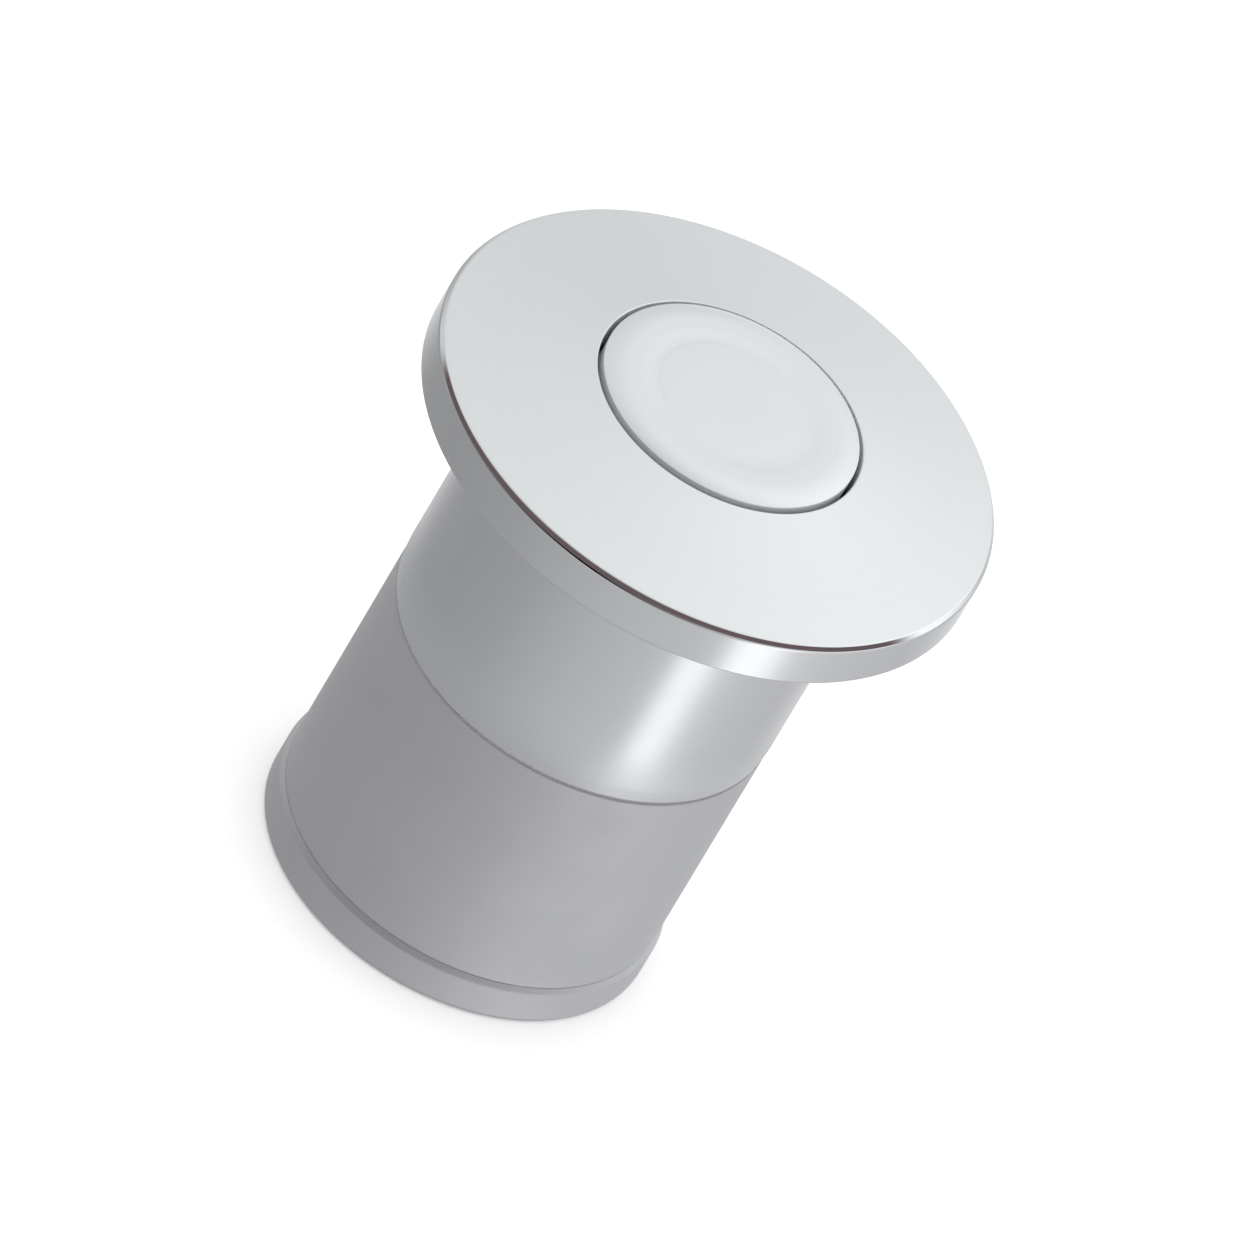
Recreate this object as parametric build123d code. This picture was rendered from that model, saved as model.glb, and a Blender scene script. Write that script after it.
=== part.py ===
from build123d import *
import os

# A dust-proof floor socket for a door's shoot bolt. The barrel is set in a hole in the floor, the
# flange sits on the floor, and a sprung plunger fills the mouth until a bolt pushes it down.
# Millimetres. +Z points up out of the floor. z = 0 is the flange's underside, on the barrel's axis.

# ---- driving dimensions -------------------------------------------------------------------------

FLANGE_RADIUS = 19.0
FLANGE_RIM_HEIGHT = 2.80        # upright side of the flange, floor to edge break
EDGE_BREAK = 0.30               # 45 degree break round the top of the rim
MOUTH_RADIUS = 9.05             # hole that the door's bolt enters
MOUTH_HEIGHT = 4.9              # the flange rises in a shallow cone to the mouth
MOUTH_DEPTH = 2.5               # straight part of the mouth, down to the wider bore behind it

SLEEVE_RADIUS = 13.1            # upper sleeve, one piece with the flange
SLEEVE_LENGTH = 17.5
SLEEVE_RAMP = (1.0, 0.14)       # height and depth of the eased edge at the sleeve's foot
GASKET_THICKNESS = 0.2
BARREL_RADIUS = 13.05
BARREL_FOOT = -34.7             # where the barrel stands on the bottom cap
BARREL_WALL = 1.65
CAP_RADIUS = 13.35
CAP_FOOT = -37.6
CAP_FLOOR_THICKNESS = 1.6
CAP_SPIGOT_LENGTH = 2.7
DRAIN_RADIUS = 1.5

PLUNGER_RADIUS = 8.75
PLUNGER_CROWN = 5.47            # height of the plunger's flat centre at rest
PLUNGER_FOOT = -14.0
PLUNGER_TRAVEL = 20.0           # throw of the bolt that the socket takes
FOOT_CLEARANCE = 0.8            # left under the plunger's foot at full travel

GUIDE_CLEARANCE = 0.08          # radial, plunger in its bush
PRESS_LINE = 0.01               # radial gap that stands for a push fit
HEAD_BORE = 10.5                # bore of the head behind the mouth, and of the barrel's spigot
STOP_HEIGHT = -8.6              # foot of the guide bush, where its snap ring starts

THREAD_PITCH = 1.0
THREAD_CREST = 11.95            # outside of the spigot's thread
THREAD_DEPTH = 0.55
THREAD_CLEARANCE = 0.1
THREAD_TOP = -11.7
THREAD_RELIEF = (12.2, -11.0)   # radius and top of the clearance above the head's thread

RING_GROOVE_RADIUS = 11.05      # groove in the head's bore
PLUNGER_GROOVE_RADIUS = 8.1     # groove round the plunger
RING_THICKNESS = 1.0
RING_SLACK = 0.1
WASHER_THICKNESS = 0.8
BUMP_RING_THICKNESS = 0.95
BUMP_GAP = 0.05                 # bump ring to the bush's snap ring at rest

SPRING_WIRE = 1.1
SPRING_MEAN_RADIUS = 6.35
SPRING_TURNS = 13

seam_top = -SLEEVE_LENGTH
seam_foot = seam_top - GASKET_THICKNESS
barrel_bore = BARREL_RADIUS - BARREL_WALL
cap_floor = CAP_FOOT + CAP_FLOOR_THICKNESS
seat_top = PLUNGER_FOOT - PLUNGER_TRAVEL - FOOT_CLEARANCE
bush_ring_foot = STOP_HEIGHT - RING_THICKNESS
washer_top = bush_ring_foot - BUMP_GAP - BUMP_RING_THICKNESS
washer_foot = washer_top - WASHER_THICKNESS
plunger_ceiling = PLUNGER_CROWN - 2.27


# ---- shared shape makers ------------------------------------------------------------------------

def turned(outline):
    """The solid swept by a closed outline of (radius, height) points turned once about Z."""
    face = make_face(Polyline(*outline, close=True))
    return revolve(Plane.XZ * face, axis=Axis.Z)


def ring(inner, outer, foot, top, edge=0.0):
    """A plain turned ring. Its four edges are broken at 45 degrees by the size given in edge."""
    if edge == 0.0:
        return turned([(inner, foot), (outer, foot), (outer, top), (inner, top)])
    return turned([
        (inner + edge, foot),
        (outer - edge, foot),
        (outer, foot + edge),
        (outer, top - edge),
        (outer - edge, top),
        (inner + edge, top),
        (inner, top - edge),
        (inner, foot + edge),
    ])


def snap_ring(inner, outer, foot, gap):
    """A flat open ring of spring steel, cut through by a gap of that width."""
    edge = 0.1
    margin = 1.0
    closed = ring(inner, outer, foot, foot + RING_THICKNESS, edge)
    middle = Pos((inner + outer) / 2, 0, foot + RING_THICKNESS / 2)
    return closed - middle * Box(outer - inner + 2 * margin, gap, RING_THICKNESS + 2 * margin)


def thread_outline(crest, root, top, foot):
    """Zigzag of (radius, height) points down a thread, one tooth for each pitch."""
    points = []
    teeth = int((top - foot) / THREAD_PITCH)
    for tooth in range(teeth):
        height = top - tooth * THREAD_PITCH
        points.append((root, height))
        points.append((crest, height - THREAD_PITCH / 2))
    points.append((root, top - teeth * THREAD_PITCH))
    return points


def soften(solid, radius, height, size):
    """Rounds the circular edge of that radius at that height."""
    near = 0.01
    edges = [
        edge for edge in solid.edges().filter_by(GeomType.CIRCLE)
        if abs(edge.radius - radius) < near and abs(edge.center().Z - height) < near
    ]
    return fillet(edges, size)


# ---- the fixed pieces, from the top down --------------------------------------------------------

def flange_head():
    """Flange and upper sleeve, turned in one piece, threaded inside at the foot."""
    mouth_edge = 0.1
    underside_edge = 0.15
    sleeve_corner = 0.3
    ramp_height, ramp_depth = SLEEVE_RAMP
    relief_radius, relief_top = THREAD_RELIEF
    shoulder = MOUTH_HEIGHT - MOUTH_DEPTH
    groove_foot = bush_ring_foot - RING_SLACK
    root = THREAD_CREST + THREAD_CLEARANCE
    thread = thread_outline(root, root - THREAD_DEPTH, THREAD_TOP, seam_top)
    outside = [
        (MOUTH_RADIUS, MOUTH_HEIGHT - mouth_edge),
        (MOUTH_RADIUS + mouth_edge, MOUTH_HEIGHT),
        (FLANGE_RADIUS - EDGE_BREAK, FLANGE_RIM_HEIGHT + EDGE_BREAK),
        (FLANGE_RADIUS, FLANGE_RIM_HEIGHT),
        (FLANGE_RADIUS, underside_edge),
        (FLANGE_RADIUS - underside_edge, 0),
        (SLEEVE_RADIUS, 0),
        (SLEEVE_RADIUS, seam_top + ramp_height),
        (SLEEVE_RADIUS - ramp_depth, seam_top),
        (root, seam_top),
    ]
    inside = [
        (relief_radius, THREAD_TOP),
        (relief_radius, relief_top),
        (HEAD_BORE, relief_top),
        (HEAD_BORE, groove_foot),
        (RING_GROOVE_RADIUS, groove_foot),
        (RING_GROOVE_RADIUS, STOP_HEIGHT),
        (HEAD_BORE, STOP_HEIGHT),
        (HEAD_BORE, shoulder),
        (MOUTH_RADIUS, shoulder),
    ]
    solid = turned(outside + list(reversed(thread)) + inside)
    return soften(solid, SLEEVE_RADIUS, 0, sleeve_corner)


def wiper_ring():
    """O-ring that wipes the plunger, between the head's shoulder and the guide bush."""
    cord = 1.65
    inner = PLUNGER_RADIUS + 0.05
    middle = Location((inner + cord / 2, 0, 1.4), (90, 0, 0))
    return revolve(middle * Circle(cord / 2), axis=Axis.Z)


def guide_bush():
    """Plain bearing for the plunger, pushed up the head's bore from below."""
    top = 0.4
    edge = 0.2
    return ring(PLUNGER_RADIUS + GUIDE_CLEARANCE, HEAD_BORE - PRESS_LINE, STOP_HEIGHT, top, edge)


def bush_snap_ring():
    """Snap ring in the head's groove, which holds the bush and stops the plunger."""
    inner = 9.6
    outer = RING_GROOVE_RADIUS - RING_SLACK / 2
    gap = 4.0
    return snap_ring(inner, outer, bush_ring_foot, gap)


def joint_gasket():
    """Flat gasket in the seam between the head's sleeve and the barrel."""
    recess = 0.2
    return ring(THREAD_CREST + 0.2, BARREL_RADIUS - recess, seam_foot, seam_top)


def lower_barrel():
    """Lower half of the casing, with a threaded spigot that screws up into the head."""
    edge = 0.1
    foot_edge = 0.2
    lead_in = 0.3
    spigot_top = THREAD_TOP + 0.45
    cone_top = seam_foot - 1.0
    cone_foot = seam_foot - 2.0
    root = THREAD_CREST - THREAD_DEPTH
    thread = thread_outline(THREAD_CREST, root, THREAD_TOP, seam_top + THREAD_PITCH)
    outside = [
        (HEAD_BORE, spigot_top),
        (root - lead_in, spigot_top),
        *thread,
        (root, seam_foot),
        (BARREL_RADIUS - edge, seam_foot),
        (BARREL_RADIUS, seam_foot - edge),
        (BARREL_RADIUS, BARREL_FOOT + foot_edge),
        (BARREL_RADIUS - foot_edge, BARREL_FOOT),
    ]
    inside = [
        (barrel_bore, BARREL_FOOT),
        (barrel_bore, cone_foot),
        (HEAD_BORE, cone_top),
    ]
    return turned(outside + inside)


def bottom_cap():
    """Cap pressed into the barrel's foot. It widens below the joint, and has a drain hole."""
    foot_edge = 0.45
    spigot_edge = 0.3
    taper_height = 0.3
    spigot_top = BARREL_FOOT + CAP_SPIGOT_LENGTH
    spigot_radius = barrel_bore - 2 * PRESS_LINE
    return turned([
        (DRAIN_RADIUS, CAP_FOOT),
        (CAP_RADIUS - foot_edge, CAP_FOOT),
        (CAP_RADIUS, CAP_FOOT + foot_edge),
        (CAP_RADIUS, BARREL_FOOT - taper_height),
        (BARREL_RADIUS, BARREL_FOOT),
        (spigot_radius, BARREL_FOOT),
        (spigot_radius, spigot_top - spigot_edge),
        (spigot_radius - spigot_edge, spigot_top),
        (HEAD_BORE, spigot_top),
        (HEAD_BORE, cap_floor),
        (DRAIN_RADIUS, cap_floor),
    ])


def spring_seat():
    """Moulded disc on the cap's floor, whose boss centres the spring."""
    hole = DRAIN_RADIUS + 0.5
    outer = HEAD_BORE - 0.1
    boss_radius = SPRING_MEAN_RADIUS - SPRING_WIRE / 2 - 0.2
    boss_top = seat_top + 2.8
    boss_edge = 0.7
    return turned([
        (hole, cap_floor),
        (outer, cap_floor),
        (outer, seat_top),
        (boss_radius, seat_top),
        (boss_radius, boss_top - boss_edge),
        (boss_radius - boss_edge, boss_top),
        (hole, boss_top),
    ])


def spring():
    """Compression spring of round wire between its seat and the plunger, ends ground flat."""
    height = plunger_ceiling - seat_top
    pitch = (height - SPRING_WIRE) / (SPRING_TURNS - 1)
    path = Helix(pitch, pitch * SPRING_TURNS, SPRING_MEAN_RADIUS)
    start = Plane(origin=path @ 0, z_dir=path % 0)
    coil = sweep(start * Circle(SPRING_WIRE / 2), path=path, is_frenet=True)
    below = pitch / 2 - SPRING_WIRE / 2
    coil = Pos(0, 0, seat_top - below) * coil
    between = Pos(0, 0, (seat_top + plunger_ceiling) / 2) * Cylinder(HEAD_BORE, height)
    return coil & between


# ---- the pieces that move with the plunger ------------------------------------------------------

def plunger():
    """Cup, open below for the spring. Its crown is domed inside a faint hollow ring."""
    cup_bore = 7.2
    foot_edge = 0.3
    flat_radius = 3.5
    hollow_radius, hollow_height = 5.4, PLUNGER_CROWN - 0.11
    ridge_radius, ridge_height = 6.3, PLUNGER_CROWN - 0.06
    shoulder_radius, shoulder_height = 7.96, PLUNGER_CROWN - 0.07
    wall_height = shoulder_height - 0.38
    groove_top = washer_foot + RING_SLACK / 2
    groove_foot = groove_top - RING_THICKNESS - RING_SLACK
    solid = turned([
        (0, PLUNGER_CROWN),
        (flat_radius, PLUNGER_CROWN),
        (hollow_radius, hollow_height),
        (ridge_radius, ridge_height),
        (shoulder_radius, shoulder_height),
        (PLUNGER_RADIUS, wall_height),
        (PLUNGER_RADIUS, groove_top),
        (PLUNGER_GROOVE_RADIUS, groove_top),
        (PLUNGER_GROOVE_RADIUS, groove_foot),
        (PLUNGER_RADIUS, groove_foot),
        (PLUNGER_RADIUS, PLUNGER_FOOT + foot_edge),
        (PLUNGER_RADIUS - foot_edge, PLUNGER_FOOT),
        (cup_bore, PLUNGER_FOOT),
        (cup_bore, plunger_ceiling),
        (0, plunger_ceiling),
    ])
    solid = soften(solid, PLUNGER_RADIUS, wall_height, 0.08)
    return soften(solid, shoulder_radius, shoulder_height, 3.3)


def bump_ring():
    """Rubber ring that quiets the plunger's return against the bush's snap ring."""
    outer = 10.1
    edge = 0.15
    return ring(PLUNGER_RADIUS, outer, washer_top, washer_top + BUMP_RING_THICKNESS, edge)


def stop_washer():
    """Flat washer that carries the stop load from the plunger's snap ring."""
    outer = 10.3
    edge = 0.1
    return ring(PLUNGER_RADIUS, outer, washer_foot, washer_top, edge)


def plunger_snap_ring():
    """Snap ring in the plunger's groove, which keeps the plunger in the socket."""
    outer = 9.9
    gap = 3.0
    return snap_ring(PLUNGER_GROOVE_RADIUS, outer, washer_foot - RING_THICKNESS, gap)


# ---- one file for each piece --------------------------------------------------------------------

PIECES = [
    flange_head,
    wiper_ring,
    guide_bush,
    bush_snap_ring,
    joint_gasket,
    lower_barrel,
    bottom_cap,
    spring_seat,
    spring,
    plunger,
    bump_ring,
    stop_washer,
    plunger_snap_ring,
]

os.makedirs("parts", exist_ok=True)
for make in PIECES:
    export_step(make(), f"parts/{make.__name__}.step")
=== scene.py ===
import math

import bpy
import numpy as np
from mathutils import Matrix


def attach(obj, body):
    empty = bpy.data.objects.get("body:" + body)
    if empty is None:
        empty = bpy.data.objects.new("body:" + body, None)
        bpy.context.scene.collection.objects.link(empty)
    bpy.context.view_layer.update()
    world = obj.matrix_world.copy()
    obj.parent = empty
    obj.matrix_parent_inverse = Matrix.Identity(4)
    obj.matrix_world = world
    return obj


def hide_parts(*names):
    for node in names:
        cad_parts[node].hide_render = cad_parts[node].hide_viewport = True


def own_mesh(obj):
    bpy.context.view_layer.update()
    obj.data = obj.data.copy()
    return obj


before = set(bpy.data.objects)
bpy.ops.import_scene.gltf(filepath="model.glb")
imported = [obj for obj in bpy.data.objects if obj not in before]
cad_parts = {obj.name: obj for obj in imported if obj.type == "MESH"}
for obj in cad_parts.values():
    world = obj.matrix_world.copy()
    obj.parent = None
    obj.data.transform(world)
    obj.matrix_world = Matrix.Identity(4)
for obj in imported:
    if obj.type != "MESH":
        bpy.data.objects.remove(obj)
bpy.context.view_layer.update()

MM = 0.001


# ---- Flanged head ---------------------------------------------------------------------------------
# The flange and the upper sleeve are one piece, turned from austenitic stainless bar and polished to a
# fine satin. It hangs the whole socket in its hole, and its mouth takes the door's bolt.

def outline_with_roundings(corners, closed, steps=7):
    """Points and outward normals down a turned outline.

    Each corner is (radius, height, rounding) in millimetres, listed clockwise: outwards along the
    top, down the outside, back up the inside. A corner becomes an arc that is tangent to the two
    straight runs beside it, so the normal turns evenly through it and stays put along the runs.
    """
    corners = np.array(corners, float)
    places, sizes = corners[:, :2], corners[:, 2]
    points, normals = [], []
    count = len(places)
    for i in range(count):
        here = places[i]
        if not closed and i in (0, count - 1):
            along = places[1] - here if i == 0 else here - places[i - 1]
            along = along / np.linalg.norm(along)
            points.append(here[None])
            normals.append(np.array([[-along[1], along[0]]]))
            continue
        before = here - places[i - 1]
        after = places[(i + 1) % count] - here
        before = before / np.linalg.norm(before)
        after = after / np.linalg.norm(after)
        turn = math.atan2(before[0] * after[1] - before[1] * after[0], before @ after)
        start = here - before * sizes[i] * math.tan(abs(turn) / 2)
        bulge = -np.sign(turn) * sizes[i]
        first_normal = np.array([-before[1], before[0]])
        sweep = np.linspace(0, turn, steps)[:, None]
        side_normal = np.array([-first_normal[1], first_normal[0]])
        arc_normals = np.cos(sweep) * first_normal + np.sin(sweep) * side_normal
        points.append(start + (arc_normals - first_normal) * bulge)
        normals.append(arc_normals)
    points, normals = np.concatenate(points), np.concatenate(normals)
    same = 1e-5
    if closed:
        apart = np.linalg.norm(points - np.roll(points, 1, axis=0), axis=1) > same
        points, normals = points[apart], normals[apart]
    return points, normals


thread_pitch = 1.0
thread_depth = 0.55
thread_run_out = 0.8


def with_thread_rows(outline, outward, thread, row_height=0.08):
    """Adds rows down the threaded run of an outline, so that the thread can be cut into them."""
    radius, top, foot = thread
    on_run = np.abs(outline[:, 0] - radius) < 0.01
    here, after = outline[:, 1], np.roll(outline[:, 1], -1)
    upper = np.minimum(np.maximum(here, after), top)
    lower = np.maximum(np.minimum(here, after), foot)
    threaded = np.where(on_run & np.roll(on_run, -1), upper - lower, 0)
    first = int(np.argmax(threaded))
    start, end = outline[first], outline[first + 1]
    rows = int(np.linalg.norm(end - start) / row_height)
    share = np.linspace(0, 1, rows + 1)[1:-1, None]
    extra = start + (end - start) * share
    extra_normals = np.repeat(outward[first][None], len(extra), axis=0)
    return (np.insert(outline, first + 1, extra, axis=0),
            np.insert(outward, first + 1, extra_normals, axis=0))


def thread_wave(height, angle, thread):
    """A rolled right-hand thread as a cosine wave of (height / pitch - turns), and its slope.

    The wave goes from 0 to 1 and fades out at both ends of the threaded run.
    """
    radius, top, foot = thread
    phase = 2 * math.pi * (height / thread_pitch - angle / (2 * math.pi))
    fade = np.clip(np.minimum(top - height, height - foot) / thread_run_out, 0, 1)
    wave = 0.5 - 0.5 * np.cos(phase)
    slope = math.pi / thread_pitch * np.sin(phase)
    return wave, slope, fade


def turned_piece(name, corners, closed=True, around=256, gap=0.0, thread=None):
    """A solid of revolution: point(s, a) = (r(s) cos a, r(s) sin a, z(s)), for an outline r, z.

    A closed outline makes a ring. An open one starts and ends on the axis, where each end row is
    one point with a fan of triangles. A gap leaves that many radians of a ring open at +X, with a
    flat cut at each end. A thread is (radius, top, foot) of the run that it is cut into: it is
    raised on an outside wall and sunk in an inside one. The UV map has u once round the axis and v
    down the outline.
    """
    outline, outward = outline_with_roundings(corners, closed)
    if thread:
        outline, outward = with_thread_rows(outline, outward, thread)
    rows = len(outline)
    columns = around + 1 if gap else around
    angle = gap / 2 + (2 * math.pi - gap) * np.arange(columns) / around
    radius = np.repeat(outline[:, :1], columns, axis=1)
    height = np.repeat(outline[:, 1:], columns, axis=1)
    normal_out = np.repeat(outward[:, :1], columns, axis=1)
    normal_up = np.repeat(outward[:, 1:], columns, axis=1)
    if thread:
        wave, slope, fade = thread_wave(height, angle[None], thread)
        cut = (np.abs(radius - thread[0]) < 0.01) & (fade > 0)
        faces_out = np.sign(normal_out)
        raised = np.where(faces_out > 0, wave, wave - 1) * thread_depth * fade
        radius = np.where(cut, radius + raised, radius)
        lean = -slope * thread_depth * fade * faces_out
        long = np.sqrt(1 + lean ** 2)
        normal_out = np.where(cut, faces_out / long, normal_out)
        normal_up = np.where(cut, lean / long, normal_up)
    grid = np.stack([radius * np.cos(angle), radius * np.sin(angle), height], 2)
    grid_normals = np.stack([normal_out * np.cos(angle), normal_out * np.sin(angle), normal_up], 2)
    length = np.concatenate([[0], np.cumsum(np.linalg.norm(np.diff(outline, axis=0), axis=1))])
    length = length / (length[-1] + np.linalg.norm(outline[-1] - outline[0]))

    number = np.arange(rows * columns).reshape(rows, columns)
    if not closed:
        number[0] = 0
        number[-1] = (rows - 2) * columns + 1
        number[1:-1] = 1 + np.arange((rows - 2) * columns).reshape(rows - 2, columns)
        grid = np.concatenate([grid[0, :1], grid[1:-1].reshape(-1, 3), grid[-1, :1]])
        grid_normals = np.concatenate(
            [grid_normals[0, :1], grid_normals[1:-1].reshape(-1, 3), grid_normals[-1, :1]])
    upper = np.arange(rows if closed else rows - 1)
    lower = (upper + 1) % rows
    column = np.arange(around)
    next_column = (column + 1) % columns
    quads = np.stack([
        number[upper][:, column],
        number[lower][:, column],
        number[lower][:, next_column],
        number[upper][:, next_column],
    ], 2)
    down = length[upper][:, None]
    down_next = np.where(lower == 0, 1.0, length[lower])[:, None]
    left, right = column[None] / around, (column[None] + 1) / around
    quad_uv = np.stack([
        np.stack(np.broadcast_arrays(left, down), 2),
        np.stack(np.broadcast_arrays(left, down_next), 2),
        np.stack(np.broadcast_arrays(right, down_next), 2),
        np.stack(np.broadcast_arrays(right, down), 2),
    ], 2)
    if closed:
        faces = quads.reshape(-1, 4).tolist()
        uv = quad_uv.reshape(-1, 2)
    else:
        fan_corners = [0, 1, 3]
        faces = (quads[0][:, :3].tolist() + quads[1:-1].reshape(-1, 4).tolist()
                 + quads[-1][:, fan_corners].tolist())
        uv = np.concatenate([
            quad_uv[0][:, :3].reshape(-1, 2),
            quad_uv[1:-1].reshape(-1, 2),
            quad_uv[-1][:, fan_corners].reshape(-1, 2),
        ])
    loop_normals = grid_normals.reshape(-1, 3)[np.concatenate([np.ravel(face) for face in faces])]
    if gap:
        for end, sign in ((0, -1), (-1, 1)):
            rim = number[:, end][::sign]
            faces.append(rim.tolist())
            facing = sign * np.array([-math.sin(angle[end]), math.cos(angle[end]), 0])
            loop_normals = np.concatenate([loop_normals, np.repeat(facing[None], rows, axis=0)])
            uv = np.concatenate([uv, outline[::sign] / outline.max()])
    mesh = bpy.data.meshes.new(name)
    mesh.from_pydata((grid.reshape(-1, 3) * MM).tolist(), [], faces)
    mesh.uv_layers.new(name="turned").data.foreach_set("uv", uv.astype(np.float32).ravel())
    mesh.shade_smooth()
    mesh.normals_split_custom_set(loop_normals.tolist())
    piece = bpy.data.objects.new(name, mesh)
    bpy.context.scene.collection.objects.link(piece)
    return piece


def finish_faces(piece, material, chosen):
    """Gives a second finish to the faces that chosen(radius, height) in millimetres picks out."""
    piece.data.materials.append(material)
    count = len(piece.data.polygons)
    middle = np.empty(count * 3)
    piece.data.polygons.foreach_get("center", middle)
    middle = middle.reshape(-1, 3) / MM
    index = np.empty(count, int)
    piece.data.polygons.foreach_get("material_index", index)
    picked = chosen(np.hypot(middle[:, 0], middle[:, 1]), middle[:, 2])
    index[picked] = len(piece.data.materials) - 1
    piece.data.polygons.foreach_set("material_index", index)


def linear(hex_colour):
    """An sRGB hex colour as linear red, green, blue and alpha."""
    parts = np.array([int(hex_colour[i:i + 2], 16) for i in (1, 3, 5)]) / 255
    parts = np.where(parts <= 0.04045, parts / 12.92, ((parts + 0.055) / 1.055) ** 2.4)
    return (*parts.tolist(), 1.0)


def add(tree, kind, inputs=None, **settings):
    """Adds a node, sets its properties, and sets or links its inputs."""
    made = tree.nodes.new("ShaderNode" + kind)
    for name, value in settings.items():
        setattr(made, name, value)
    for name, value in (inputs or {}).items():
        if isinstance(value, bpy.types.NodeSocket):
            tree.links.new(value, made.inputs[name])
        else:
            made.inputs[name].default_value = value
    return made


def worked_stainless(name, colour, roughness, anisotropy, grain_mm, depth_mm, lay="rings",
                     dull_foot=None):
    """Stainless steel with the marks of its working: rings off a lathe, or grains off a blast.

    Rings follow the distance from the axis and the height, so they close on themselves, and they
    stretch a highlight across themselves, which the anisotropy gives. They are drawn coarser than
    the real 0.05 mm feed so that they show. Handling leaves cloudy changes of gloss a few
    millimetres across. A dull_foot of (top, foot, roughness) makes the polish fade, between those
    two heights in millimetres, to that roughness.
    """
    material = bpy.data.materials.new(name)
    material.use_nodes = True
    tree = material.node_tree
    tree.nodes.clear()
    place = add(tree, "TexCoord").outputs["Object"]
    mark_place = place
    if lay == "rings":
        parts = add(tree, "SeparateXYZ", {"Vector": place})
        flat = add(tree, "VectorMath", {0: place, 1: (1, 1, 0)}, operation="MULTIPLY")
        radius = add(tree, "VectorMath", {0: flat.outputs["Vector"]}, operation="LENGTH")
        mark_place = add(tree, "CombineXYZ", {
            "X": radius.outputs["Value"],
            "Y": parts.outputs["Z"],
        }).outputs["Vector"]
    marks = add(tree, "TexNoise", {
        "Vector": mark_place,
        "Scale": 1 / (grain_mm * MM),
        "Detail": 2.0,
        "Roughness": 0.6,
    })
    clouds = add(tree, "TexNoise", {
        "Vector": place,
        "Scale": 1 / (7 * MM),
        "Detail": 3.0,
        "Roughness": 0.55,
    })
    rough = add(tree, "MapRange", {
        "Value": clouds.outputs["Fac"],
        "From Min": 0.3,
        "From Max": 0.7,
        "To Min": roughness * 0.93,
        "To Max": roughness * 1.07,
    }).outputs["Result"]
    if dull_foot:
        top, foot, dull = dull_foot
        whole = add(tree, "SeparateXYZ", {"Vector": place})
        rough = add(tree, "MapRange", {
            "Value": whole.outputs["Z"],
            "From Min": foot * MM,
            "From Max": top * MM,
            "To Min": dull,
            "To Max": rough,
        }, interpolation_type="SMOOTHSTEP").outputs["Result"]
    tint = add(tree, "Mix", {
        "Factor": marks.outputs["Fac"],
        "A": [c * 0.97 for c in linear(colour)[:3]] + [1.0],
        "B": linear(colour),
    }, data_type="RGBA")
    relief = add(tree, "Bump", {
        "Height": marks.outputs["Fac"],
        "Strength": 1.0,
        "Distance": depth_mm * MM,
    })
    direction = add(tree, "Tangent", direction_type="UV_MAP", uv_map="turned")
    metal = add(tree, "BsdfPrincipled", {
        "Base Color": tint.outputs["Result"],
        "Metallic": 1.0,
        "Roughness": rough,
        "Anisotropic": anisotropy,
        "Anisotropic Rotation": 0.25,
        "Normal": relief.outputs["Normal"],
        "Tangent": direction.outputs["Tangent"],
    })
    add(tree, "OutputMaterial", {"Surface": metal.outputs["BSDF"]})
    return material


# Satin gives a soft, even gloss, the cut edge a sharp glint, and the bored walls are nearly matt.
satin_stainless = worked_stainless(
    "satin turned stainless steel", "#e3e5e6", 0.22, 0.5, 0.35, 0.0005)
sleeve_stainless = worked_stainless(
    "satin turned stainless sleeve", "#e3e5e6", 0.29, 0.5, 0.35, 0.0005,
    dull_foot=(-12.5, -17.4, 0.50))
bright_stainless = worked_stainless(
    "bright cut stainless steel edge", "#e3e5e6", 0.09, 0.0, 0.20, 0.0002)
bored_stainless = worked_stainless(
    "bored stainless steel", "#e0e1e2", 0.80, 0.2, 0.25, 0.0020)

flange_radius = 19.0
rim_height = 2.80
edge_break = 0.30
mouth_radius = 9.05
mouth_height = 4.9
mouth_shoulder = 2.4
head_bore = 10.5
sleeve_radius = 13.1
seam_top = -17.5
ramp_height, ramp_depth = 1.0, 0.14
thread_top = -11.7
head_thread_root = 12.05
relief_radius, relief_top = 12.2, -11.0
ring_groove_radius = 11.05
stop_height = -8.6
ring_groove_foot = stop_height - 1.1
head = turned_piece("flange_head_turned", [
    (mouth_radius, mouth_height, 0.10),
    (flange_radius - edge_break, rim_height + edge_break, 0.28),
    (flange_radius, rim_height, 0.28),
    (flange_radius, 0.0, 0.12),
    (sleeve_radius, 0.0, 0.3),
    (sleeve_radius, seam_top + ramp_height, 4.0),
    (sleeve_radius - ramp_depth, seam_top, 0.06),
    (head_thread_root, seam_top, 0.1),
    (head_thread_root, thread_top, 0.05),
    (relief_radius, thread_top + 0.1, 0.05),
    (relief_radius, relief_top, 0.1),
    (head_bore, relief_top, 0.1),
    (head_bore, ring_groove_foot, 0.04),
    (ring_groove_radius, ring_groove_foot, 0.04),
    (ring_groove_radius, stop_height, 0.04),
    (head_bore, stop_height, 0.04),
    (head_bore, mouth_shoulder, 0.1),
    (mouth_radius, mouth_shoulder, 0.1),
], thread=(head_thread_root, thread_top, seam_top))
head.data.materials.append(satin_stainless)
finish_faces(head, sleeve_stainless, lambda radius, height: (
    (radius < sleeve_radius + 0.1) & (radius > head_thread_root) & (height < -0.2)))
finish_faces(head, bright_stainless, lambda radius, height: (
    (radius > flange_radius - edge_break) & (height > rim_height)))
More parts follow.
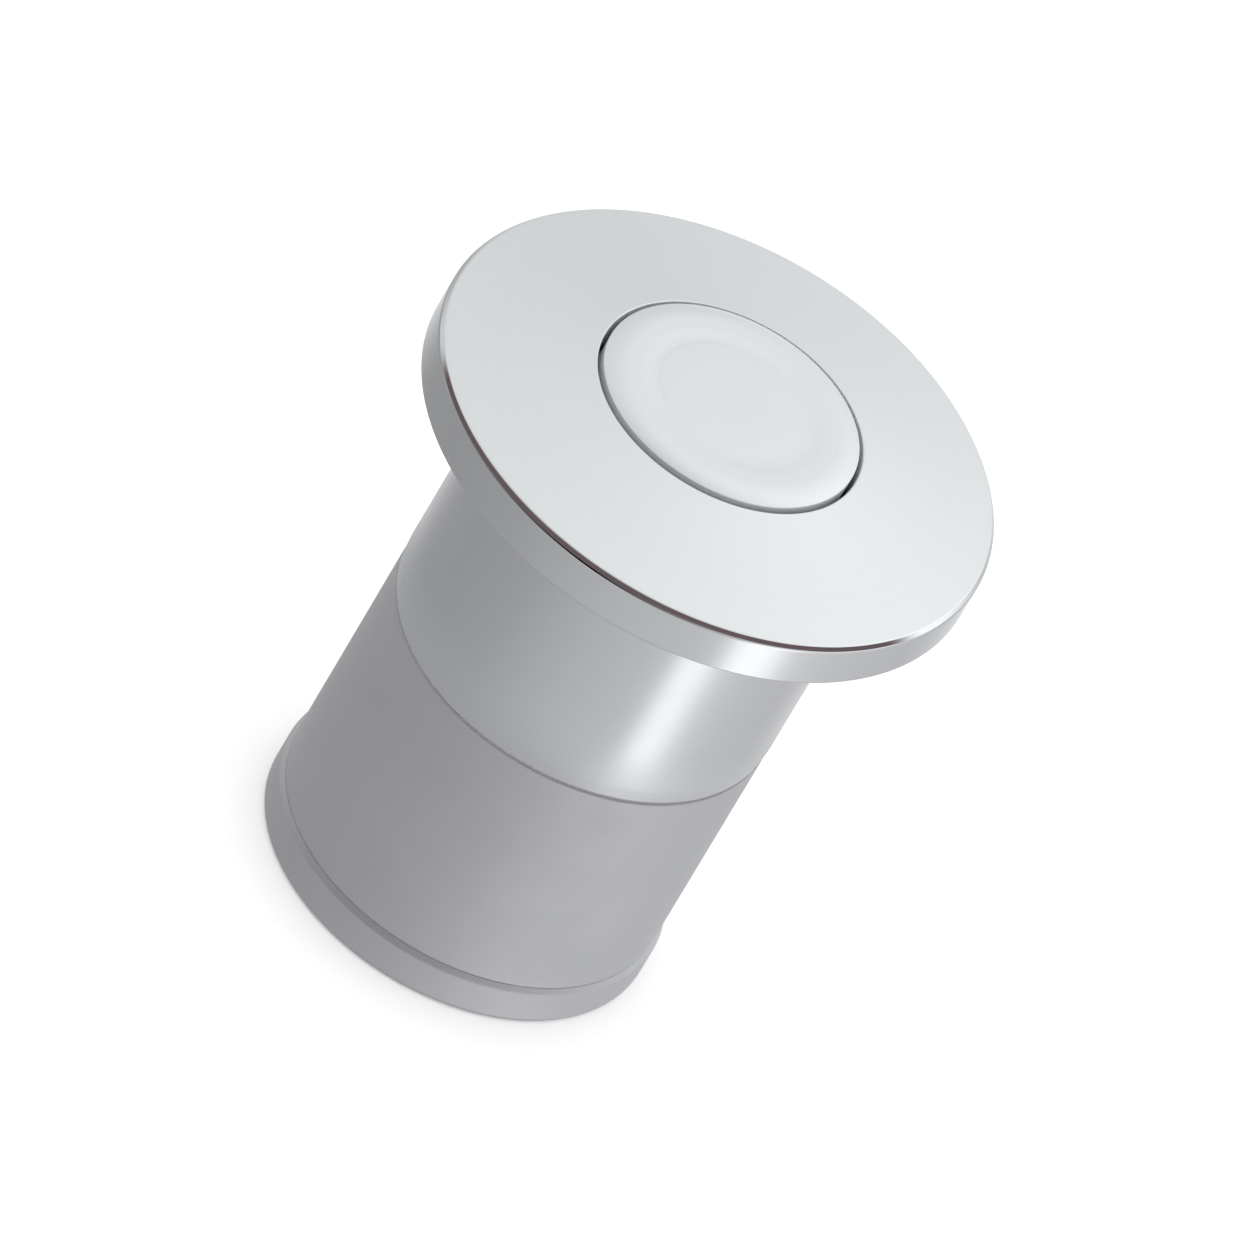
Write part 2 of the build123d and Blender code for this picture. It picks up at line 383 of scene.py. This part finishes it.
finish_faces(head, bored_stainless, lambda radius, height: (
    (radius < relief_radius + 0.1) & (height < mouth_height - 0.05) & (height > seam_top)))
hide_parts("flange_head")
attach(head, "housing")


# ---- Wiper ring -----------------------------------------------------------------------------------
# A nitrile rubber O-ring, moulded, under the mouth's shoulder. It wipes the plunger and keeps grit out
# of the bush.

def moulded(name, colour, dark_colour, roughness, ior, grain_mm, depth_mm):
    """A moulded or skived polymer: a soft gloss over fine grains, and clouds of a darker tone."""
    material = bpy.data.materials.new(name)
    material.use_nodes = True
    tree = material.node_tree
    tree.nodes.clear()
    place = add(tree, "TexCoord").outputs["Object"]
    clouds = add(tree, "TexNoise", {
        "Vector": place,
        "Scale": 1 / (3 * MM),
        "Detail": 4.0,
        "Roughness": 0.6,
    })
    grains = add(tree, "TexNoise", {
        "Vector": place,
        "Scale": 1 / (grain_mm * MM),
        "Detail": 2.0,
    })
    tint = add(tree, "Mix", {
        "Factor": clouds.outputs["Fac"],
        "A": linear(dark_colour),
        "B": linear(colour),
    }, data_type="RGBA")
    rough = add(tree, "MapRange", {
        "Value": clouds.outputs["Fac"],
        "From Min": 0.3,
        "From Max": 0.7,
        "To Min": roughness * 0.85,
        "To Max": min(roughness * 1.15, 1.0),
    })
    relief = add(tree, "Bump", {
        "Height": grains.outputs["Fac"],
        "Strength": 1.0,
        "Distance": depth_mm * MM,
    })
    skin = add(tree, "BsdfPrincipled", {
        "Base Color": tint.outputs["Result"],
        "Roughness": rough.outputs["Result"],
        "IOR": ior,
        "Normal": relief.outputs["Normal"],
    })
    add(tree, "OutputMaterial", {"Surface": skin.outputs["BSDF"]})
    return material


# Near black, with a low gloss.
nitrile_rubber = moulded("moulded nitrile rubber", "#1c1c1d", "#101011", 0.55, 1.52, 0.12, 0.004)

plunger_radius = 8.75
cord = 1.65
wiper_inner = plunger_radius + 0.05
wiper_middle = 1.4
wiper = turned_piece("wiper_ring_moulded", [
    (wiper_inner, wiper_middle + cord / 2, cord / 2),
    (wiper_inner + cord, wiper_middle + cord / 2, cord / 2),
    (wiper_inner + cord, wiper_middle - cord / 2, cord / 2),
    (wiper_inner, wiper_middle - cord / 2, cord / 2),
], around=160)
wiper.data.materials.append(nitrile_rubber)
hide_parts("wiper_ring")
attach(wiper, "housing")


# ---- Guide bush -----------------------------------------------------------------------------------
# A plain bearing of natural white acetal, moulded and reamed, pushed up the head's bore. The plunger
# runs in it.

# Off-white, with a soft gloss.
white_acetal = moulded("moulded natural acetal", "#e9e6dc", "#dcd8cc", 0.38, 1.48, 0.15, 0.002)

bush_bore = plunger_radius + 0.08
bush_radius = head_bore - 0.01
bush_top = 0.4
bush = turned_piece("guide_bush_moulded", [
    (bush_bore, bush_top, 0.25),
    (bush_radius, bush_top, 0.2),
    (bush_radius, stop_height, 0.2),
    (bush_bore, stop_height, 0.25),
])
bush.data.materials.append(white_acetal)
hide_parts("guide_bush")
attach(bush, "housing")


# ---- Snap ring under the bush ---------------------------------------------------------------------
# A flat open ring stamped from spring steel, hardened, phosphated and oiled. It sits in the groove in
# the head's bore, holds the bush up and takes the plunger's stop load.

# Phosphate and oil leave it a dull grey beside the bright parts.
spring_steel = worked_stainless(
    "phosphated and oiled spring steel", "#7f8083", 0.38, 0.0, 0.12, 0.0030, lay="grains")

ring_thickness = 1.0


def snap_ring(name, inner, outer, foot, gap_width):
    """A flat ring of rectangular section, open by gap_width at +X, its stamped edges rounded."""
    top = foot + ring_thickness
    edge = 0.12
    return turned_piece(name, [
        (inner, top, edge),
        (outer, top, edge),
        (outer, foot, edge),
        (inner, foot, edge),
    ], around=180, gap=2 * math.asin(gap_width / (inner + outer)))


bush_ring_bore = 9.6
bush_ring = snap_ring(
    "bush_snap_ring_stamped", bush_ring_bore, ring_groove_radius - 0.05,
    stop_height - ring_thickness, gap_width=4.0)
bush_ring.data.materials.append(spring_steel)
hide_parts("bush_snap_ring")
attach(bush_ring, "housing")


# ---- Joint gasket ---------------------------------------------------------------------------------
# A flat ring cut from grey PTFE sheet, nipped between the sleeve's foot and the barrel's shoulder. Only
# its edge shows, as the fine line round the barrel.

# Plain grey, with a soft gloss.
grey_ptfe = moulded("grey PTFE sheet", "#a9a9aa", "#98989a", 0.45, 1.38, 0.10, 0.001)

seam_foot = seam_top - 0.2
barrel_radius = 13.05
gasket_bore = 12.15
gasket_radius = barrel_radius - 0.2
gasket = turned_piece("joint_gasket_cut", [
    (gasket_bore, seam_top, 0.02),
    (gasket_radius, seam_top, 0.02),
    (gasket_radius, seam_foot, 0.02),
    (gasket_bore, seam_foot, 0.02),
])
gasket.data.materials.append(grey_ptfe)
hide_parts("joint_gasket")
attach(gasket, "housing")


# ---- Lower barrel ---------------------------------------------------------------------------------
# The lower half of the casing is cut from stainless tube. It screws up into the head, and its outside
# is left matter than the head's, because it is buried in the floor.

# Pale grey with no sharp highlight.
matt_stainless = worked_stainless(
    "matt turned stainless steel", "#d6d7d9", 0.68, 0.0, 0.45, 0.0012)

barrel_foot = -34.7
barrel_bore = 11.4
spigot_thread_root = 11.4
spigot_top = -11.25
spigot_thread_foot = -16.5
barrel = turned_piece("lower_barrel_turned", [
    (head_bore, spigot_top, 0.1),
    (spigot_thread_root, spigot_top, 0.3),
    (spigot_thread_root, seam_foot, 0.1),
    (barrel_radius, seam_foot, 0.06),
    (barrel_radius, barrel_foot, 0.12),
    (barrel_bore, barrel_foot, 0.1),
    (barrel_bore, seam_foot - 2.0, 0.3),
    (head_bore, seam_foot - 1.0, 0.3),
], thread=(spigot_thread_root, thread_top + 0.2, spigot_thread_foot))
barrel.data.materials.append(matt_stainless)
finish_faces(barrel, bored_stainless, lambda radius, height: (
    (radius < spigot_thread_root + 0.6) & (height > barrel_foot + 0.2)))
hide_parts("lower_barrel")
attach(barrel, "housing")


# ---- Bottom cap -----------------------------------------------------------------------------------
# A turned stainless cap, pressed into the barrel's foot until its rim meets the barrel. The hole in its
# middle drains the socket.

cap_radius = 13.35
cap_foot = -37.6
cap_floor = cap_foot + 1.6
cap_spigot = barrel_bore - 0.02
cap_spigot_top = barrel_foot + 2.7
drain_radius = 1.5
cap = turned_piece("bottom_cap_turned", [
    (head_bore, cap_spigot_top, 0.1),
    (cap_spigot, cap_spigot_top, 0.3),
    (cap_spigot, barrel_foot, 0.05),
    (barrel_radius, barrel_foot, 0.02),
    (cap_radius, barrel_foot - 0.3, 0.3),
    (cap_radius, cap_foot, 0.45),
    (drain_radius, cap_foot, 0.2),
    (drain_radius, cap_floor, 0.1),
    (head_bore, cap_floor, 0.3),
])
cap.data.materials.append(matt_stainless)
finish_faces(cap, bored_stainless, lambda radius, height: (
    (radius < cap_spigot + 0.1) & (height > cap_foot + 0.2)))
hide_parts("bottom_cap")
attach(cap, "housing")


# ---- Spring seat ----------------------------------------------------------------------------------
# A disc of black acetal, moulded, lies on the cap's floor. Its boss centres the spring, and its hole is
# over the cap's drain.

# Near black, with a soft gloss.
black_acetal = moulded("moulded black acetal", "#1d1e1f", "#131414", 0.36, 1.48, 0.15, 0.002)

seat_top = cap_floor + 1.2
seat_hole = 2.0
boss_radius = 5.6
boss_top = seat_top + 2.8
boss_bevel = 0.7
seat_radius = head_bore - 0.1
seat = turned_piece("spring_seat_moulded", [
    (seat_hole, boss_top, 0.3),
    (boss_radius - boss_bevel, boss_top, 0.3),
    (boss_radius, boss_top - boss_bevel, 0.3),
    (boss_radius, seat_top, 0.2),
    (seat_radius, seat_top, 0.2),
    (seat_radius, cap_floor, 0.2),
    (seat_hole, cap_floor, 0.2),
], around=160)
seat.data.materials.append(black_acetal)
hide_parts("spring_seat")
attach(seat, "housing")


# ---- Spring ---------------------------------------------------------------------------------------
# A compression spring coiled from drawn stainless wire, its end turns closed and ground flat. It stands
# on the seat's disc and lifts the plunger.

wire = 1.1
coil_radius = 6.35
coil_turns = 13
plunger_crown = 5.47
plunger_ceiling = plunger_crown - 2.27


def coiled_spring(name, rows_per_turn=48, around=14):
    """Wire carried along a helix: point(t, b) = path(t) + wire / 2 * (cos b outwards + sin b up).

    The rise is one wire a turn over the first and last turn and steeper, by a smooth step, between
    them. Ends are ground: no point stands below the seat or above the plunger's ceiling.
    """
    turns = np.linspace(0, coil_turns, coil_turns * rows_per_turn + 1)
    from_end = np.minimum(turns, coil_turns - turns)
    opened = np.clip((from_end - 0.75) / 0.75, 0, 1)
    opened = opened * opened * (3 - 2 * opened)
    rise = np.concatenate([[0], np.cumsum((opened[1:] + opened[:-1]) / 2)])
    closed_rise = turns * wire
    ground_off = 0.3 * wire
    first_middle = seat_top + wire / 2 - ground_off
    total = plunger_ceiling - seat_top - 2 * (wire / 2 - ground_off)
    middle = first_middle + closed_rise + rise / rise[-1] * (total - closed_rise[-1])
    angle = 2 * math.pi * turns
    across = 2 * math.pi * np.arange(around) / around
    radius = coil_radius + wire / 2 * np.cos(across)[None]
    height = middle[:, None] + wire / 2 * np.sin(across)[None]
    height = np.clip(height, seat_top, plunger_ceiling)
    grid = np.stack([
        radius * np.cos(angle)[:, None],
        radius * np.sin(angle)[:, None],
        height,
    ], 2)
    rows = len(turns)
    number = np.arange(rows * around).reshape(rows, around)
    beside = (np.arange(around) + 1) % around
    quads = np.stack([number[:-1], number[1:], number[1:][:, beside], number[:-1][:, beside]], 2)
    faces = quads.reshape(-1, 4).tolist() + [number[0].tolist(), number[-1][::-1].tolist()]
    row, step = np.arange(rows - 1)[:, None] / rows_per_turn, np.arange(around)[None] / around
    quad_uv = np.stack([
        np.stack(np.broadcast_arrays(row + along, step + turn / around), 2)
        for along, turn in ((0, 0), (1 / rows_per_turn, 0), (1 / rows_per_turn, 1), (0, 1))
    ], 2)
    end_uv = np.zeros((2 * around, 2))
    uv = np.concatenate([quad_uv.reshape(-1, 2), end_uv])
    mesh = bpy.data.meshes.new(name)
    mesh.from_pydata((grid.reshape(-1, 3) * MM).tolist(), [], faces)
    mesh.uv_layers.new(name="wire").data.foreach_set("uv", uv.astype(np.float32).ravel())
    mesh.shade_smooth()
    piece = bpy.data.objects.new(name, mesh)
    bpy.context.scene.collection.objects.link(piece)
    return piece


def drawn_wire(name, colour, roughness):
    """Drawn stainless wire: fine die lines run along it, in a grey with a soft gloss."""
    material = bpy.data.materials.new(name)
    material.use_nodes = True
    tree = material.node_tree
    tree.nodes.clear()
    place = add(tree, "TexCoord").outputs["UV"]
    stretched = add(tree, "Mapping", {"Vector": place, "Scale": (2, 40, 1)})
    lines = add(tree, "TexNoise", {
        "Vector": stretched.outputs["Vector"],
        "Scale": 1.0,
        "Detail": 3.0,
    })
    tint = add(tree, "Mix", {
        "Factor": lines.outputs["Fac"],
        "A": [c * 0.85 for c in linear(colour)[:3]] + [1.0],
        "B": linear(colour),
    }, data_type="RGBA")
    relief = add(tree, "Bump", {
        "Height": lines.outputs["Fac"],
        "Strength": 1.0,
        "Distance": 0.003 * MM,
    })
    metal = add(tree, "BsdfPrincipled", {
        "Base Color": tint.outputs["Result"],
        "Metallic": 1.0,
        "Roughness": roughness,
        "Normal": relief.outputs["Normal"],
    })
    add(tree, "OutputMaterial", {"Surface": metal.outputs["BSDF"]})
    return material


spring = coiled_spring("spring_coiled")
spring.data.materials.append(drawn_wire("drawn stainless spring wire", "#c4c4c5", 0.32))
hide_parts("spring")
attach(spring, "housing")
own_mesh(spring)


# ---- Plunger --------------------------------------------------------------------------------------
# A turned stainless cup that fills the mouth. Its shoulder falls away gently, its crown is a low dome
# in a faint hollow ring, and it is blasted after turning: finely on the face, coarser on the wall.

# Blasting frosts the face evenly, and leaves the wall nearly matt.
blasted_stainless = worked_stainless(
    "fine blasted stainless steel", "#e3e5e6", 0.36, 0.0, 0.16, 0.0015, lay="grains")
coarse_blasted_stainless = worked_stainless(
    "coarse blasted stainless steel", "#e6e7e8", 0.80, 0.0, 0.20, 0.0020, lay="grains")

shoulder_height = plunger_crown - 0.07
shoulder_foot = shoulder_height - 0.38
plunger_foot = -14.0
plunger_groove = 8.1
washer_foot = -11.4
groove_top = washer_foot + 0.05
groove_foot = washer_foot - 1.05
cup_bore = 7.2
plunger = turned_piece("plunger_turned", [
    (0.0, plunger_crown, 0.0),
    (3.5, plunger_crown, 60.0),
    (5.4, plunger_crown - 0.11, 6.0),
    (6.3, plunger_crown - 0.06, 6.0),
    (7.96, shoulder_height, 3.6),
    (plunger_radius, shoulder_foot, 0.06),
    (plunger_radius, groove_top, 0.04),
    (plunger_groove, groove_top, 0.04),
    (plunger_groove, groove_foot, 0.04),
    (plunger_radius, groove_foot, 0.04),
    (plunger_radius, plunger_foot, 0.25),
    (cup_bore, plunger_foot, 0.2),
    (cup_bore, plunger_ceiling, 0.3),
    (0.0, plunger_ceiling, 0.0),
], closed=False)
plunger.data.materials.append(blasted_stainless)
finish_faces(plunger, coarse_blasted_stainless, lambda radius, height: (
    height < shoulder_foot - 0.03))
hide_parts("plunger")
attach(plunger, "plunger")


# ---- Bump ring, stop washer and snap ring on the plunger ------------------------------------------
# The snap ring in the plunger's groove carries a stamped stainless washer, and the rubber ring above it
# quiets the plunger's return against the ring under the bush.

washer_top = washer_foot + 0.8
bump_top = washer_top + 0.95
bump_radius = 10.1
bump = turned_piece("bump_ring_moulded", [
    (plunger_radius, bump_top, 0.1),
    (bump_radius, bump_top, 0.3),
    (bump_radius, washer_top, 0.15),
    (plunger_radius, washer_top, 0.1),
], around=160)
bump.data.materials.append(nitrile_rubber)
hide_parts("bump_ring")
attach(bump, "plunger")

# Plain sheet, with a moderate gloss.
sheet_stainless = worked_stainless(
    "stamped stainless sheet", "#d0d1d2", 0.30, 0.0, 0.20, 0.0010, lay="grains")
washer_radius = 10.3
washer = turned_piece("stop_washer_stamped", [
    (plunger_radius, washer_top, 0.18),
    (washer_radius, washer_top, 0.18),
    (washer_radius, washer_foot, 0.04),
    (plunger_radius, washer_foot, 0.04),
], around=180)
washer.data.materials.append(sheet_stainless)
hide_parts("stop_washer")
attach(washer, "plunger")

plunger_ring_radius = 9.9
plunger_ring = snap_ring(
    "plunger_snap_ring_stamped", plunger_groove, plunger_ring_radius,
    washer_foot - ring_thickness, gap_width=3.0)
plunger_ring.data.materials.append(spring_steel)
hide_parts("plunger_snap_ring")
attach(plunger_ring, "plunger")


# ---- Studio ---------------------------------------------------------------------------------------
# A plain white floor under an even white dome. Metal mirrors a tent of pale panels: grey on the left,
# a bright strip to the right, brighter overhead on the right, and a dark slot in front to look through.

floor_size = 6.0
floor_mesh = bpy.data.meshes.new("studio_floor")
half = floor_size / 2
ground = (cap_foot - 0.02) * MM
floor_mesh.from_pydata(
    [(-half, -half, ground), (half, -half, ground),
     (half, half, ground), (-half, half, ground)], [], [(0, 1, 2, 3)])
floor = bpy.data.objects.new("studio_floor", floor_mesh)
bpy.context.scene.collection.objects.link(floor)
paper = bpy.data.materials.new("white studio paper")
paper.use_nodes = True
paper_shader = paper.node_tree.nodes["Principled BSDF"]
paper_shader.inputs["Base Color"].default_value = linear("#f8f8f8")
paper_shader.inputs["Roughness"].default_value = 0.9
floor.data.materials.append(paper)
floor.visible_glossy = False

world = bpy.data.worlds.new("studio")
world.use_nodes = True
bpy.context.scene.world = world
sky = world.node_tree
sky.nodes.clear()

way = add(sky, "TexCoord").outputs["Generated"]
way_parts = add(sky, "SeparateXYZ", {"Vector": way})
east, north, up_part = (way_parts.outputs[axis] for axis in "XYZ")
south = add(sky, "Math", {0: north, 1: -1.0}, operation="MULTIPLY").outputs["Value"]
bearing = add(sky, "Math", {0: east, 1: south}, operation="ARCTAN2").outputs["Value"]

round_wall = add(sky, "MapRange", {"Value": bearing, "From Min": -math.pi, "From Max": math.pi})
wall_panels = add(sky, "ValToRGB", {"Fac": round_wall.outputs["Result"]})
points = wall_panels.color_ramp.elements
while len(points) > 1:
    points.remove(points[0])
# Brightness of the wall round the object, at bearings in degrees: 0 in front, positive to the right.
wall_levels = [
    (-180, 1.00), (-150, 0.55), (-130, 0.37), (-90, 0.36), (-50, 0.40), (0, 0.57), (30, 0.64),
    (45, 0.68), (51, 1.42), (63, 1.40), (73, 0.78), (92, 0.67), (130, 0.58), (150, 0.68), (180, 1.00),
]
for i, (bearing_deg, level) in enumerate(wall_levels):
    at = (bearing_deg + 180) / 360
    point = points[0] if i == 0 else points.new(at)
    point.position = at
    point.color = (level * 1.005, level, level * 1.02, 1)

above_floor = add(sky, "MapRange", {
    "Value": up_part,
    "From Min": -0.90,
    "From Max": -0.66,
}, interpolation_type="SMOOTHSTEP")
wall = add(sky, "Mix", {
    "Factor": above_floor.outputs["Result"],
    "A": linear("#a9a9ac"),
    "B": wall_panels.outputs["Color"],
}, data_type="RGBA")
# The ceiling brightens upwards and to the right, and falls off towards the viewer.
level_at_eye, rise_overhead = 0.78, 0.27
rise_to_right, least_to_right = 0.50, -0.10
fall_to_viewer, fall_starts = 0.60, 0.52
eastward = add(sky, "Math", {0: east, 1: rise_to_right}, operation="MULTIPLY").outputs["Value"]
to_right = add(sky, "Math", {0: eastward, 1: least_to_right}, operation="MAXIMUM").outputs["Value"]
southward = add(sky, "Math", {0: fall_starts, 1: north}, operation="SUBTRACT").outputs["Value"]
nearer = add(sky, "Math", {0: southward, 1: 0.0}, operation="MAXIMUM").outputs["Value"]
to_viewer = add(sky, "Math", {0: nearer, 1: fall_to_viewer}, operation="MULTIPLY").outputs["Value"]
by_height = add(sky, "Math", {
    0: up_part,
    1: rise_overhead,
    2: level_at_eye,
}, operation="MULTIPLY_ADD")
by_side = add(sky, "Math", {0: by_height.outputs["Value"], 1: to_right}, operation="ADD")
ceiling_level = add(sky, "Math", {0: by_side.outputs["Value"], 1: to_viewer}, operation="SUBTRACT")
ceiling = add(sky, "VectorMath", {
    0: ceiling_level.outputs["Value"],
    1: (0.985, 1.0, 1.003),
}, operation="MULTIPLY")
above_wall = add(sky, "MapRange", {
    "Value": up_part,
    "From Min": -0.1,
    "From Max": 0.25,
}, interpolation_type="SMOOTHSTEP")
tent = add(sky, "Mix", {
    "Factor": above_wall.outputs["Result"],
    "A": wall.outputs["Result"],
    "B": ceiling.outputs["Vector"],
}, data_type="RGBA")
# The slot is an arch: highest in front, and lower by the square of the bearing to each side.
slot_middle, slot_bend = 0.9145, -0.1375
slot_half_height, slot_outer_edge = 0.16, 0.26
slot_end, slot_outer_end = 1.85, 2.05
elevation = add(sky, "Math", {0: up_part}, operation="ARCSINE").outputs["Value"]
bearing_squared = add(sky, "Math", {0: bearing, 1: bearing}, operation="MULTIPLY")
arch = add(sky, "Math", {
    0: bearing_squared.outputs["Value"],
    1: slot_bend,
    2: slot_middle,
}, operation="MULTIPLY_ADD")
over_arch = add(sky, "Math", {0: elevation, 1: arch.outputs["Value"]}, operation="SUBTRACT")
from_arch = add(sky, "Math", {0: over_arch.outputs["Value"]}, operation="ABSOLUTE")
past_edge = add(sky, "MapRange", {
    "Value": from_arch.outputs["Value"],
    "From Min": slot_half_height,
    "From Max": slot_outer_edge,
}, interpolation_type="SMOOTHSTEP")
to_side = add(sky, "Math", {0: bearing}, operation="ABSOLUTE")
past_end = add(sky, "MapRange", {
    "Value": to_side.outputs["Value"],
    "From Min": slot_end,
    "From Max": slot_outer_end,
}, interpolation_type="SMOOTHSTEP")
outside_slot = add(sky, "Math", {
    0: past_edge.outputs["Result"],
    1: past_end.outputs["Result"],
}, operation="MAXIMUM")
tent_with_slot = add(sky, "Mix", {
    "Factor": outside_slot.outputs["Value"],
    "A": linear("#6b5c60"),
    "B": tent.outputs["Result"],
}, data_type="RGBA")
dome = add(sky, "Background", {"Color": (1, 1, 1, 1), "Strength": 1.5})
mirrored = add(sky, "Background", {"Color": tent_with_slot.outputs["Result"], "Strength": 1.0})
ray = add(sky, "LightPath")
either = add(sky, "MixShader", {
    0: ray.outputs["Is Glossy Ray"],
    1: dome.outputs["Background"],
    2: mirrored.outputs["Background"],
})
add(sky, "OutputWorld", {"Surface": either.outputs["Shader"]})

camera_elevation = math.radians(37.58)
camera_roll = math.radians(30.89)
camera_distance = 1.985
aim_height = -16.0
aim_right, aim_up = 1.70, 0.80
forward = np.array([0, math.cos(camera_elevation), -math.sin(camera_elevation)])
level_right = np.array([1.0, 0.0, 0.0])
level_up = np.cross(level_right, forward)
right = math.cos(camera_roll) * level_right + math.sin(camera_roll) * level_up
up = -math.sin(camera_roll) * level_right + math.cos(camera_roll) * level_up
aim = (np.array([0, 0, aim_height]) + aim_right * right + aim_up * up) * MM
spot = aim - forward * camera_distance
camera_data = bpy.data.cameras.new("camera")
camera_data.lens = 915.4
camera_data.sensor_width = 36.0
camera_data.clip_start, camera_data.clip_end = 0.1, 10.0
camera = bpy.data.objects.new("camera", camera_data)
camera.matrix_world = Matrix([
    (right[0], up[0], -forward[0], spot[0]),
    (right[1], up[1], -forward[1], spot[1]),
    (right[2], up[2], -forward[2], spot[2]),
    (0, 0, 0, 1),
])
bpy.context.scene.collection.objects.link(camera)
bpy.context.scene.camera = camera
bpy.context.scene.view_settings.view_transform = "Standard"
